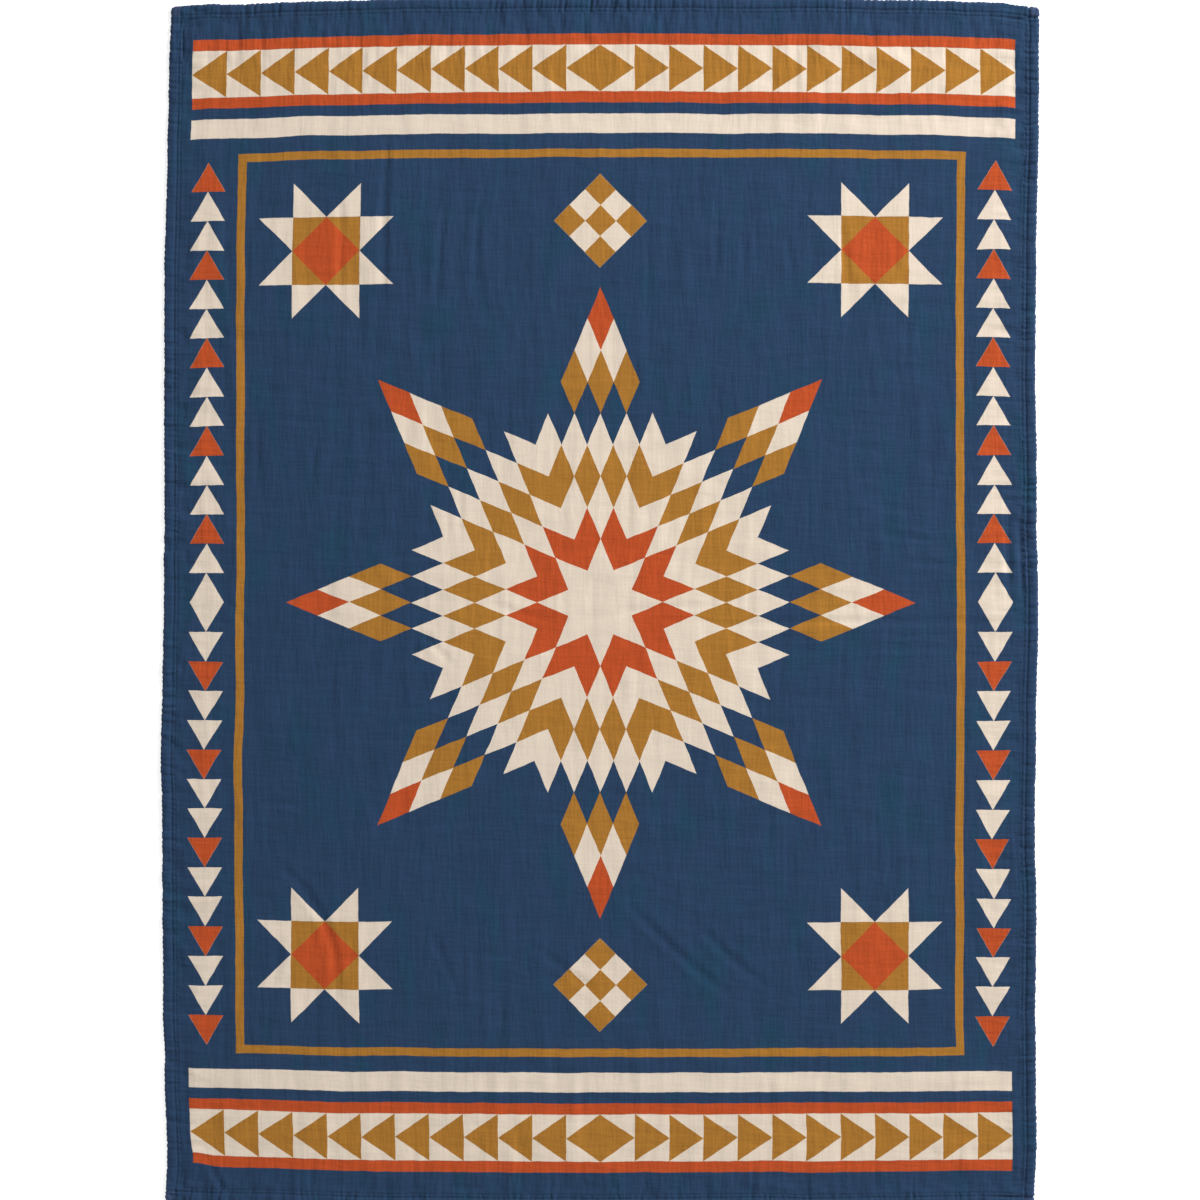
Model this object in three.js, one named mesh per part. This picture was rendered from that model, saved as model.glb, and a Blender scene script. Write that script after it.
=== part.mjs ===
// A printed cotton gauze blanket, one sheet with a turned and topstitched hem, lying flat, face up.
// Millimetres, +Z up. X runs across the width and Y along the length. The origin is the middle of
// the box round the sheet, on the flat underside.
import * as THREE from 'three';

// The sheet
const WIDTH = 1270;
const LENGTH = 1752;
const CLOTH_THICK = 3;
const CORNER_ROUND = 7.5;
const FIELD_STEP = 27;
const THINNEST = 1.2;

// The turned hem in section, from the folded edge inwards to the field.
// The trough is the line of topstitching.
const HEM_SECTION = [
  { inset: 0, thick: 1.6 },
  { inset: 2, thick: 4.2 },
  { inset: 7.5, thick: 4.8 },
  { inset: 12.5, thick: 3.9 },
  { inset: 14.5, thick: 2.1 },
  { inset: 18, thick: 3 },
];
const HEM_INSETS = HEM_SECTION.map((row) => row.inset);
const FIELD_INSET = HEM_INSETS[HEM_INSETS.length - 1];

// How far each edge strays outwards from a straight line, at places along it
const LEFT_EDGE = [
  { at: -876, out: -1 },
  { at: -815, out: -4 },
  { at: -700, out: -1 },
  { at: -560, out: 2 },
  { at: -300, out: 3 },
  { at: -235, out: 5 },
  { at: -105, out: 2 },
  { at: 60, out: 0 },
  { at: 500, out: 0 },
  { at: 640, out: -5 },
  { at: 770, out: -7 },
  { at: 876, out: -10 },
];
const RIGHT_EDGE = [
  { at: -876, out: -3 },
  { at: -790, out: 0 },
  { at: -450, out: 0 },
  { at: -340, out: -2 },
  { at: -200, out: 0 },
  { at: -20, out: 2.5 },
  { at: 140, out: 1 },
  { at: 350, out: -1 },
  { at: 600, out: 1 },
  { at: 800, out: 3.5 },
  { at: 876, out: 4 },
];
const TOP_EDGE = [
  { at: -635, out: -8 },
  { at: -554, out: -4.5 },
  { at: -408, out: 0 },
  { at: -240, out: 3 },
  { at: 0, out: 5 },
  { at: 290, out: 4 },
  { at: 440, out: 1.5 },
  { at: 575, out: -1.5 },
  { at: 635, out: -8.5 },
];
const BOTTOM_EDGE = [
  { at: -635, out: -4.5 },
  { at: -570, out: -2 },
  { at: -350, out: 4 },
  { at: 0, out: 7 },
  { at: 300, out: 6 },
  { at: 635, out: 3 },
];

// Main creases of the field: soft troughs between two low shoulders. x and y are the middle of a
// crease, turn is its run in degrees from the X axis, and bow is how far its middle swings aside.
const CREASES = [
  { x: -515, y: 475, length: 80, turn: 90, bow: 0, width: 12, depth: 1.0 },
  { x: -379, y: 517, length: 125, turn: 90, bow: 0, width: 12, depth: 1.5 },
  { x: -314, y: 550, length: 215, turn: 90, bow: 2, width: 12, depth: 1.5 },
  { x: -234, y: 502, length: 130, turn: 86, bow: 0, width: 14, depth: 1.6 },
  { x: -180, y: 517, length: 105, turn: 90, bow: 0, width: 12, depth: 0.9 },
  { x: 69, y: 499, length: 90, turn: 90, bow: 0, width: 12, depth: 0.9 },
  { x: 170, y: 527, length: 85, turn: 90, bow: 0, width: 12, depth: 1.5 },
  { x: 208, y: 499, length: 50, turn: 90, bow: 0, width: 11, depth: 1.3 },
  { x: 276, y: 502, length: 60, turn: 97, bow: 0, width: 12, depth: 0.9 },
  { x: 356, y: 505, length: 85, turn: 95, bow: 0, width: 13, depth: 1.5 },
  { x: 429, y: 506, length: 50, turn: 90, bow: 0, width: 13, depth: 1.0 },
  { x: -444, y: 408, length: 60, turn: 0, bow: 0, width: 12, depth: 0.9 },
  { x: -455, y: 308, length: 70, turn: -3, bow: 0, width: 12, depth: 1.2 },
  { x: -430, y: 265, length: 95, turn: -4, bow: 0, width: 12, depth: 1.2 },
  { x: -498, y: 217, length: 105, turn: 90, bow: 0, width: 12, depth: 1.4 },
  { x: -418, y: 200, length: 50, turn: 90, bow: 0, width: 11, depth: 0.9 },
  { x: -204, y: 142, length: 80, turn: 90, bow: 0, width: 12, depth: 0.8 },
  { x: 429, y: 137, length: 60, turn: -6, bow: 0, width: 11, depth: 1.2 },
  { x: 433, y: 95, length: 110, turn: -8, bow: 2, width: 12, depth: 1.5 },
  { x: 466, y: 58, length: 70, turn: -3, bow: 0, width: 11, depth: 0.9 },
  { x: 592, y: 66, length: 140, turn: 90, bow: 0, width: 13, depth: 1.6 },
  { x: 400, y: -29, length: 345, turn: 0, bow: 2, width: 13, depth: 1.5 },
  { x: 455, y: -66, length: 90, turn: 0, bow: 0, width: 11, depth: 0.9 },
  { x: 85, y: -10, length: 120, turn: 5, bow: 0, width: 12, depth: 1.1 },
  { x: -110, y: -14, length: 90, turn: -13, bow: -3, width: 12, depth: 1.1 },
  { x: -240, y: -65, length: 65, turn: -45, bow: 0, width: 12, depth: 1.0 },
  { x: -527, y: -18, length: 50, turn: -50, bow: 0, width: 12, depth: 1.0 },
  { x: -462, y: -293, length: 65, turn: -5, bow: 0, width: 12, depth: 1.2 },
  { x: -422, y: -472, length: 195, turn: -65, bow: 22, width: 14, depth: 1.7 },
  { x: -227, y: -520, length: 85, turn: -66, bow: 0, width: 13, depth: 0.8 },
  { x: -55, y: -528, length: 105, turn: -36, bow: 0, width: 13, depth: 0.9 },
  { x: 116, y: -503, length: 185, turn: -42, bow: -5, width: 14, depth: 1.6 },
  { x: 193, y: -513, length: 120, turn: -42, bow: -3, width: 14, depth: 1.5 },
  { x: -563, y: -838, length: 50, turn: -56, bow: 0, width: 12, depth: 1.4 },
];

// A point of the grid nearer to a crease than this share of the field step moves onto it
const SNAP_SHARE = 0.45;

// Long low swells of the field: height, crest to crest along X and Y, and where the wave starts
const SWELLS = [
  { height: 0.25, alongX: 310, alongY: 520, shift: 0.6 },
  { height: 0.2, alongX: 190, alongY: -270, shift: 2.1 },
  { height: 0.15, alongX: -95, alongY: 410, shift: 4.0 },
];
const SWELL_FADE = 60;

const CLOTH_COLOR = 0x2a4466;

// The value of a column at a place along a table, eased from row to row
function readTable(table, key, value, at) {
  const last = table.length - 1;
  if (at <= table[0][key]) return table[0][value];
  if (at >= table[last][key]) return table[last][value];
  const next = table.findIndex((row) => row[key] > at);
  const from = table[next - 1];
  const to = table[next];
  const share = THREE.MathUtils.smoothstep(at, from[key], to[key]);
  return THREE.MathUtils.lerp(from[value], to[value], share);
}

// Lines across a span, close together in the hem at both ends and even in the field
function gridLines(span) {
  const field = span - 2 * FIELD_INSET;
  const cells = Math.round(field / FIELD_STEP);
  const lines = HEM_INSETS.map((inset) => inset - span / 2);
  for (let i = 1; i < cells; i += 1) {
    lines.push(-field / 2 + (field * i) / cells);
  }
  for (const inset of [...HEM_INSETS].reverse()) {
    lines.push(span / 2 - inset);
  }
  return lines;
}

// How far a point lies along a crease and to its side
function placeInCrease(crease, x, y) {
  const turn = THREE.MathUtils.degToRad(crease.turn);
  const dx = x - crease.x;
  const dy = y - crease.y;
  const along = dx * Math.cos(turn) + dy * Math.sin(turn);
  const straight = dy * Math.cos(turn) - dx * Math.sin(turn);
  const share = along / (crease.length / 2);
  const aside = straight - crease.bow * (1 - share * share);
  return { aside, share, turn };
}

// Moves a point of the field onto a crease that it nearly lies on, so that the trough is sharp
function snapToCrease(x, y) {
  for (const crease of CREASES) {
    const { aside, share, turn } = placeInCrease(crease, x, y);
    const across = Math.max(Math.abs(Math.cos(turn)), Math.abs(Math.sin(turn)));
    if (Math.abs(share) < 1 && Math.abs(aside) < SNAP_SHARE * FIELD_STEP * across) {
      return { x: x + aside * Math.sin(turn), y: y - aside * Math.cos(turn) };
    }
  }
  return { x, y };
}

// Height that one crease adds at a point: a trough, and a low shoulder on each side
function creaseHeight(crease, x, y) {
  const { aside, share } = placeInCrease(crease, x, y);
  const reach = (aside / crease.width) ** 2;
  return -crease.depth * (1 - 2 * reach) * Math.exp(-reach) * Math.exp(-(share ** 4));
}

function swellHeight(swell, x, y) {
  const phase = x / swell.alongX + y / swell.alongY;
  return swell.height * Math.sin(2 * Math.PI * phase + swell.shift);
}

// Thickness of the sheet at a point of the even rectangle that it is cut to
function thicknessAt(x, y) {
  const insetX = WIDTH / 2 - Math.abs(x);
  const insetY = LENGTH / 2 - Math.abs(y);
  const riseX = readTable(HEM_SECTION, 'inset', 'thick', insetX) - CLOTH_THICK;
  const riseY = readTable(HEM_SECTION, 'inset', 'thick', insetY) - CLOTH_THICK;
  const pastHem = Math.min(insetX, insetY) - FIELD_INSET;
  const calm = THREE.MathUtils.smoothstep(pastHem, 0, SWELL_FADE);
  let thick = CLOTH_THICK + riseX + riseY;
  for (const swell of SWELLS) thick += calm * swellHeight(swell, x, y);
  if (pastHem > 0) {
    for (const crease of CREASES) thick += creaseHeight(crease, x, y);
  }
  return Math.max(thick, THINNEST);
}

// Rounds off the corners of the rectangle
function roundCorner(x, y) {
  const startX = WIDTH / 2 - CORNER_ROUND;
  const startY = LENGTH / 2 - CORNER_ROUND;
  const u = (Math.abs(x) - startX) / CORNER_ROUND;
  const v = (Math.abs(y) - startY) / CORNER_ROUND;
  if (u <= 0 || v <= 0) return { x, y };
  return {
    x: Math.sign(x) * (startX + CORNER_ROUND * u * Math.sqrt(1 - (v * v) / 2)),
    y: Math.sign(y) * (startY + CORNER_ROUND * v * Math.sqrt(1 - (u * u) / 2)),
  };
}

// Carries a point of the even rectangle to where the uneven outline puts it
function strayFromRectangle(x, y) {
  const side = x < 0 ? LEFT_EDGE : RIGHT_EDGE;
  const end = y < 0 ? BOTTOM_EDGE : TOP_EDGE;
  const outX = readTable(side, 'at', 'out', y);
  const outY = readTable(end, 'at', 'out', x);
  return {
    x: x + (outX * x) / (WIDTH / 2),
    y: y + (outY * y) / (LENGTH / 2),
  };
}

function inField(x, y) {
  return Math.abs(x) < WIDTH / 2 - FIELD_INSET && Math.abs(y) < LENGTH / 2 - FIELD_INSET;
}

function topPoint(x, y) {
  const cut = inField(x, y) ? snapToCrease(x, y) : { x, y };
  const rounded = roundCorner(cut.x, cut.y);
  const laid = strayFromRectangle(rounded.x, rounded.y);
  return [laid.x, laid.y, thicknessAt(cut.x, cut.y)];
}

// One closed skin: the face, a low wall under its edge, and a flat underside round one middle point
function blanketGeometry() {
  const columns = gridLines(WIDTH);
  const rows = gridLines(LENGTH);
  const points = [];
  for (const y of rows) {
    for (const x of columns) points.push(topPoint(x, y));
  }
  const across = columns.length;
  const faces = [];
  for (let j = 0; j < rows.length - 1; j += 1) {
    for (let i = 0; i < across - 1; i += 1) {
      const corner = j * across + i;
      faces.push([corner, corner + 1, corner + across + 1]);
      faces.push([corner, corner + across + 1, corner + across]);
    }
  }
  const rim = rimOfGrid(across, rows.length);
  const foot = rim.map((index) => points.push([points[index][0], points[index][1], 0]) - 1);
  const middle = points.push([0, 0, 0]) - 1;
  rim.forEach((top, k) => {
    const next = (k + 1) % rim.length;
    faces.push([top, foot[k], foot[next]]);
    faces.push([top, foot[next], rim[next]]);
    faces.push([middle, foot[next], foot[k]]);
  });
  const geometry = new THREE.BufferGeometry();
  geometry.setAttribute('position', new THREE.Float32BufferAttribute(points.flat(), 3));
  geometry.setIndex(faces.flat());
  centreOnUnderside(geometry);
  geometry.computeVertexNormals();
  return geometry;
}

// Indices round the edge of the grid, counterclockwise seen from above
function rimOfGrid(across, along) {
  const rim = [];
  for (let i = 0; i < across - 1; i += 1) rim.push(i);
  for (let j = 0; j < along - 1; j += 1) rim.push(j * across + across - 1);
  for (let i = across - 1; i > 0; i -= 1) rim.push((along - 1) * across + i);
  for (let j = along - 1; j > 0; j -= 1) rim.push(j * across);
  return rim;
}

function centreOnUnderside(geometry) {
  geometry.computeBoundingBox();
  const middle = geometry.boundingBox.getCenter(new THREE.Vector3());
  geometry.translate(-middle.x, -middle.y, 0);
}

function makeBlanket() {
  const cloth = new THREE.MeshStandardMaterial({ color: CLOTH_COLOR, roughness: 0.9, metalness: 0 });
  const blanket = new THREE.Mesh(blanketGeometry(), cloth);
  blanket.name = 'blanket';
  return blanket;
}

const model = new THREE.Group();
model.add(makeBlanket());

export default model;
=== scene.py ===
import math
from collections import namedtuple

import bpy
import numpy as np
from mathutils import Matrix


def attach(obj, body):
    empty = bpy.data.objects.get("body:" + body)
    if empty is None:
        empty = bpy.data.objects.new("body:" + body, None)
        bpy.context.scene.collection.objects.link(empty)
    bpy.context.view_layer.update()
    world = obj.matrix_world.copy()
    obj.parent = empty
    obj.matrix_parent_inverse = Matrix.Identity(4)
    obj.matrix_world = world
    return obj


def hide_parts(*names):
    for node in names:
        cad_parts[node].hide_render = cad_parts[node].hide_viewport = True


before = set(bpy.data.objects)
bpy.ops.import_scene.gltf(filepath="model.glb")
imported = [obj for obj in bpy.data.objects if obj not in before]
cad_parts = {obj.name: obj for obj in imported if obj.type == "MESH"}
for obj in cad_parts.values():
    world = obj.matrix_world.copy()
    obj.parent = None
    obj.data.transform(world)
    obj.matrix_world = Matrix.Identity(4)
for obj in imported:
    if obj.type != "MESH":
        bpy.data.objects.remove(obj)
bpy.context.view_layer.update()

MM = 0.001

# The sheet as it was cut
WIDTH = 1270
LENGTH = 1752
CLOTH_THICK = 3.0
CORNER_ROUND = 6.5

# How far each edge strays outwards from a straight line, at places along it
Edge = namedtuple("Edge", "at out")
LEFT_EDGE = [
    Edge(-876, -1), Edge(-815, -4), Edge(-700, -1), Edge(-560, 2), Edge(-300, 3), Edge(-235, 5),
    Edge(-105, 2), Edge(60, 0), Edge(500, 0), Edge(640, -5), Edge(770, -7), Edge(876, -10),
]
RIGHT_EDGE = [
    Edge(-876, -3), Edge(-790, 0), Edge(-450, 0), Edge(-340, -2), Edge(-200, 0), Edge(-20, 2.5),
    Edge(140, 1), Edge(350, -1), Edge(600, 1), Edge(800, 3.5), Edge(876, 4),
]
TOP_EDGE = [
    Edge(-635, -8), Edge(-554, -4.5), Edge(-408, 0), Edge(-240, 3), Edge(0, 5), Edge(290, 4),
    Edge(440, 1.5), Edge(575, -1.5), Edge(635, -8.5),
]
BOTTOM_EDGE = [
    Edge(-635, -4.5), Edge(-570, -2), Edge(-350, 4), Edge(0, 7), Edge(300, 6), Edge(635, 3),
]

# Height of the hem over the field, by how far a point lies in from the folded edge
HemRise = namedtuple("HemRise", "inset rise")
HEM_RISES = [
    HemRise(0, 1.1), HemRise(4, 1.5), HemRise(9, 1.5), HemRise(12.5, 1.1), HemRise(14.5, 0.7),
    HemRise(17, 0.5), HemRise(20, 0.3), HemRise(28, 0),
]

# Lines of topstitching: how far in they run, how deep they draw the cloth down and how wide. The
# outer lines cross at the corners and run out to the edge, where they keep a share of their depth.
# The inner one turns each corner in an arc, round a point that lies INNER_TURN in from both edges.
StitchLine = namedtuple("StitchLine", "inset depth width")
OUTER_LINE = StitchLine(14.5, 0.9, 1.4)
INNER_LINE = StitchLine(20.0, 0.4, 1.2)
CROSSING_SHARE = 0.35
CROSSING_FADE = 6
INNER_TURN = 30.0
STITCH_PITCH = 3.7

# The corner squares, where both hems lie on each other: how much higher, and how wide their slope
CORNER_RISE = 0.4
CORNER_SLOPE = 3

# The rounded fold of the hem: how far in a point of it lies, and its share of the hem's height
Nose = namedtuple("Nose", "inset share")
HEM_NOSE = [
    Nose(0.7, 0.0), Nose(0.2, 0.18), Nose(0, 0.4), Nose(0.25, 0.62), Nose(0.9, 0.82),
    Nose(2.0, 0.95), Nose(3.5, 1.0),
]

# Lines of the two meshes round the edge, by how far in each lies, and the even steps further in.
# A wide cell of the underside spans UNDERSIDE_SKIP cells of the face.
HEM_INSETS = [
    5.5, 7.5, 9.5, 11.3, 12.6, 13.5, 14.1, 14.5, 14.9, 15.6, 16.6, 17.8, 18.8, 19.5, 20.0, 20.4, 20.9,
]
HEM_STEP = 1.95
FIELD_INSETS = [19.1, 19.6, 20.0, 20.6, 21.6, 22.8, 24.2, 25.9, 28.0, 30.5, 33.5]
FIELD_STEP_ACROSS = 4.7
FIELD_STEP_ALONG = 5.3
UNDERSIDE_SKIP = 6

# Past the line where field and hem meet, each is tucked below the other. The field ends there in a
# thin rim.
TUCK_DEPTH = 1.5
TUCK_WIDTH = 0.9
TUCK_LOWEST = 0.5
RIM_THICK = 0.4

# The printed face comes no lower than this over the surface, and bends softly as it nears it
LOWEST = 1.2
LOWEST_SOFTNESS = 0.9

# A layer of noise: the size of its patches both ways, the most that it adds, and its seed. Along a
# side, wide runs with the edge and tall square to it, and the side's own seed is added.
Layer = namedtuple("Layer", "wide tall most seed")

# Gathers that the stitching draws in, square to the edges: their height by inset, their pitch, and
# how many times further than in the table they fade out, past REACH_FROM
Gather = namedtuple("Gather", "inset height")
GATHER_HEIGHTS = [
    Gather(0, 0.7), Gather(7, 1.15), Gather(14.5, 0.75), Gather(17, 0.95), Gather(20, 0.9),
    Gather(30, 1.25), Gather(45, 0.85), Gather(65, 0.35), Gather(100, 0),
]
Side = namedtuple("Side", "pitch strength reach seed")
TOP_SIDE = Side(9.0, 1.15, 2.2, 11)
BOTTOM_SIDE = Side(11.0, 0.95, 1.0, 12)
LEFT_SIDE = Side(9.5, 1.15, 1.0, 13)
RIGHT_SIDE = Side(9.5, 1.25, 1.0, 14)
REACH_FROM = 30

# The gathers' narrow valleys change along this length and lean this way and that, and their
# strength varies in patches
GATHER_LENGTH = 55
VALLEY_SHARPNESS = 2.4
GATHER_LEAN = Layer(70, 40, 6, 20)
LEAN_START = 120
GATHER_SHARE = 0.85
GATHER_PATCHES = Layer(110, 90, 0.55, 40)
BROAD_GATHERS = Layer(27, 80, 0.65, 60)

# Puckers of the hem, one for every two stitches, and how far the folded edge follows both
PUCKER_HEIGHT = 0.28
PUCKER_PITCH = 2 * STITCH_PITCH
PUCKER_REACH = 24
BEAD_SHARPNESS = 4
BEAD_SHIFT = Layer(24, 30, 0.6, 80)
SCALLOP = 0.45
BEAD_SCALLOP = 0.35
SCALLOP_REACH = 9.0

# The notch in the folded edge where an outer line of stitching runs out
LINE_NOTCH = 1.1
NOTCH_WIDTH = 1.6

# Main creases of the field: soft troughs between two low shoulders. x and y are the middle of a
# crease, turn is its run in degrees from the X axis, and bow is how far its middle swings aside.
# They are those of the solid, narrower, and deeper by one share for all.
SHARPER = 1.5
Crease = namedtuple("Crease", "x y length turn bow width depth")
CREASES = [
    Crease(-515, 475, 80, 90, 0, 7, 0.8),
    Crease(-379, 517, 125, 90, 0, 7, 1.1),
    Crease(-314, 550, 215, 90, 2, 8, 1.2),
    Crease(-234, 502, 130, 86, 0, 8, 1.2),
    Crease(-180, 517, 105, 90, 0, 7, 0.8),
    Crease(69, 499, 90, 90, 0, 7, 0.8),
    Crease(170, 527, 85, 90, 0, 7, 1.1),
    Crease(208, 499, 50, 90, 0, 7, 1.0),
    Crease(276, 502, 60, 97, 0, 7, 0.8),
    Crease(356, 505, 85, 95, 0, 8, 1.1),
    Crease(429, 506, 50, 90, 0, 7, 0.8),
    Crease(-444, 408, 60, 0, 0, 7, 0.7),
    Crease(-455, 308, 70, -3, 0, 7, 0.9),
    Crease(-430, 265, 95, -4, 0, 7, 0.9),
    Crease(-498, 217, 105, 90, 0, 7, 1.0),
    Crease(-418, 200, 50, 90, 0, 7, 0.7),
    Crease(-204, 142, 80, 90, 0, 7, 0.7),
    Crease(429, 137, 60, -6, 0, 7, 0.9),
    Crease(433, 95, 110, -8, 2, 7, 1.1),
    Crease(466, 58, 70, -3, 0, 7, 0.8),
    Crease(592, 66, 140, 90, 0, 7, 1.3),
    Crease(400, -29, 345, 0, 2, 8, 1.2),
    Crease(455, -66, 90, 0, 0, 7, 0.8),
    Crease(85, -10, 120, 5, 0, 7, 0.9),
    Crease(-110, -14, 90, -13, -3, 7, 0.9),
    Crease(-240, -65, 65, -45, 0, 7, 0.8),
    Crease(-527, -18, 50, -50, 0, 7, 0.8),
    Crease(-462, -293, 65, -5, 0, 7, 0.9),
    Crease(-422, -472, 195, -65, 22, 9, 1.3),
    Crease(-227, -520, 85, -66, 0, 8, 0.7),
    Crease(-55, -528, 105, -36, 0, 8, 0.8),
    Crease(116, -503, 185, -42, -5, 9, 1.2),
    Crease(193, -513, 120, -42, -3, 9, 1.1),
    Crease(-563, -838, 50, -56, 0, 7, 1.1),
]

# Small wrinkles beside the hems, in the same columns
WRINKLES = [
    Crease(-471, 648, 24, 90, 0, 5, 0.5),
    Crease(-437, 648, 30, 90, 0, 5, 0.6),
    Crease(-375, 646, 26, 90, 0, 5, 0.5),
    Crease(-314, 649, 30, 90, 0, 5, 0.6),
    Crease(-193, 648, 24, 90, 0, 5, 0.5),
    Crease(-105, 648, 26, 90, 0, 5, 0.5),
    Crease(-9, 648, 24, 90, 0, 5, 0.5),
    Crease(23, 647, 26, 90, 0, 5, 0.6),
    Crease(72, 648, 28, 90, 0, 5, 0.5),
    Crease(590, 396, 40, 0, 0, 5, 0.5),
    Crease(588, 331, 46, 2, 0, 5, 0.5),
    Crease(590, 295, 40, -3, 0, 5, 0.6),
    Crease(586, 265, 50, 0, 0, 5, 0.6),
    Crease(590, 244, 36, 3, 0, 5, 0.5),
    Crease(588, 222, 44, 0, 0, 5, 0.5),
    Crease(587, 185, 46, -2, 0, 5, 0.5),
    Crease(590, 152, 40, 0, 0, 5, 0.5),
    Crease(611, 66, 120, 90, 0, 5, 0.8),
    Crease(590, -229, 42, 0, 0, 5, 0.5),
    Crease(588, -353, 44, 2, 0, 5, 0.6),
    Crease(590, -371, 40, 0, 0, 5, 0.5),
    Crease(-565, -838, 40, -48, 0, 5, 0.8),
    Crease(-525, -842, 30, 90, 0, 5, 0.6),
    Crease(300, -835, 50, 92, 0, 6, 0.6),
    Crease(352, -833, 54, 88, 0, 6, 0.6),
    Crease(404, -835, 44, 90, 0, 6, 0.5),
]

# Long low swells of the field: height, crest to crest along X and Y, and where the wave starts
Swell = namedtuple("Swell", "height along_x along_y shift")
SWELLS = [Swell(0.25, 310, 520, 0.6), Swell(0.2, 190, -270, 2.1), Swell(0.15, -95, 410, 4.0)]
SWELL_FADE = 60

# Crinkle of washed gauze: streaks along the yarns both ways, which lean a little, and broad dents
CRINKLE_LEAN = Layer(150, 120, 14, 51)
CRINKLE_SHARE = 0.85
CRINKLE_PATCHES = Layer(140, 190, 0.5, 52)
UPRIGHT_NARROW = Layer(8.5, 65, 0.58, 53)
UPRIGHT_WIDE = Layer(16, 120, 0.464, 54)
ACROSS_NARROW = Layer(50, 9.5, 0.45, 55)
ACROSS_WIDE = Layer(100, 17, 0.36, 56)
BROAD_DENTS = Layer(24, 30, 0.45, 57)
CRINKLE_FADE = 10

# Places where the cloth is drawn aside, with the print on it
Pull = namedtuple("Pull", "x y reach aside_x aside_y")
PULLS = [
    Pull(-596, -822, 26, 3, 6),
    Pull(588, 700, 60, 2.5, -1.5),
    Pull(-560, 660, 70, -1.5, -1.5),
    Pull(560, -560, 80, -1.5, 2),
    Pull(-470, -180, 90, 1.5, -1),
]

# Slight sway of the yarns, sideways and lengthways
SWAY_X = [Layer(85, 60, 0.8, 61), Layer(30, 22, 0.4, 62)]
SWAY_Y = [Layer(60, 85, 0.8, 63), Layer(22, 30, 0.4, 64)]

NOISE_SIZE = 512


def ease(share):
    """Eases a share from 0 to 1, and holds it there."""
    share = np.clip(share, 0, 1)
    return share * share * (3 - 2 * share)


def read_table(rows, at):
    """The second column of a table at places along its first, eased from row to row."""
    places = np.array([row[0] for row in rows], float)
    values = np.array([row[1] for row in rows], float)
    after = np.clip(np.searchsorted(places, at, side="right"), 1, len(places) - 1)
    share = (at - places[after - 1]) / (places[after] - places[after - 1])
    return values[after - 1] + ease(share) * (values[after] - values[after - 1])


def noise(x, y, seed):
    """Smooth noise from -1 to 1, with a new random value at each whole step."""
    values = np.random.default_rng(seed).uniform(-1, 1, (NOISE_SIZE, NOISE_SIZE))
    column = np.floor(x).astype(int)
    row = np.floor(y).astype(int)
    across = ease(x - column)
    along = ease(y - row)

    def lattice(i, j):
        return values[i % NOISE_SIZE, j % NOISE_SIZE]

    before = lattice(column, row) * (1 - across) + lattice(column + 1, row) * across
    after = lattice(column, row + 1) * (1 - across) + lattice(column + 1, row + 1) * across
    return before * (1 - along) + after * along


def layer_at(layer, x, y, seed=0):
    """What a layer of noise adds at a point."""
    return layer.most * noise(x / layer.wide, y / layer.tall, layer.seed + seed)


def insets(s, t):
    """How far a point of the cut sheet lies in from its sides and from its ends."""
    return WIDTH / 2 - np.abs(s), LENGTH / 2 - np.abs(t)


def four_sides(s, t):
    """Each side's table row, the place of a point along it, and how far in the point lies."""
    return [
        (TOP_SIDE, s, LENGTH / 2 - t),
        (BOTTOM_SIDE, s, LENGTH / 2 + t),
        (LEFT_SIDE, t, WIDTH / 2 + s),
        (RIGHT_SIDE, t, WIDTH / 2 - s),
    ]


def bulge(side, along, inset):
    """Rounded bulges from -1 to 1 along a side, parted by narrow valleys."""
    lean = layer_at(GATHER_LEAN, along, inset + LEAN_START, side.seed)
    wave = noise((along + lean) / side.pitch, inset / GATHER_LENGTH, side.seed)
    return 1 - 2 * (1 - np.abs(wave)) ** VALLEY_SHARPNESS


def gathers(s, t):
    """Height of the gathers that the topstitching draws in along all four sides."""
    total = 0
    for side, along, inset in four_sides(s, t):
        patches = GATHER_SHARE + layer_at(GATHER_PATCHES, along, inset, side.seed)
        place = np.minimum(inset, REACH_FROM) + np.maximum(inset - REACH_FROM, 0) / side.reach
        height = read_table(GATHER_HEIGHTS, place) * side.strength * patches
        broad = layer_at(BROAD_GATHERS, along, inset, side.seed)
        total = total + height * (bulge(side, along, inset) + broad)
        total = total + puckers(side, along, inset) * patches
    return total


def beads(side, along, inset):
    """Small close bulges from -1 to 1 along a side, one for every two stitches."""
    phase = along / PUCKER_PITCH + layer_at(BEAD_SHIFT, along, inset, side.seed)
    return 1 - 2 * np.abs(np.cos(math.pi * phase)) ** BEAD_SHARPNESS


def puckers(side, along, inset):
    """Height of the puckers across the hem, between the stitches."""
    fade = 1 - ease((inset - INNER_LINE.inset) / (PUCKER_REACH - INNER_LINE.inset))
    return PUCKER_HEIGHT * side.strength * fade * beads(side, along, inset)


def crease_height(crease, s, t):
    """Height that one crease adds: a trough, and a low shoulder on each side."""
    turn = math.radians(crease.turn)
    along = (s - crease.x) * math.cos(turn) + (t - crease.y) * math.sin(turn)
    straight = (t - crease.y) * math.cos(turn) - (s - crease.x) * math.sin(turn)
    share = along / (crease.length / 2)
    reach = ((straight - crease.bow * (1 - share**2)) / crease.width) ** 2
    depth = SHARPER * crease.depth
    return -depth * (1 - 2 * reach) * np.exp(-reach) * np.exp(-(share**4))


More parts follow.
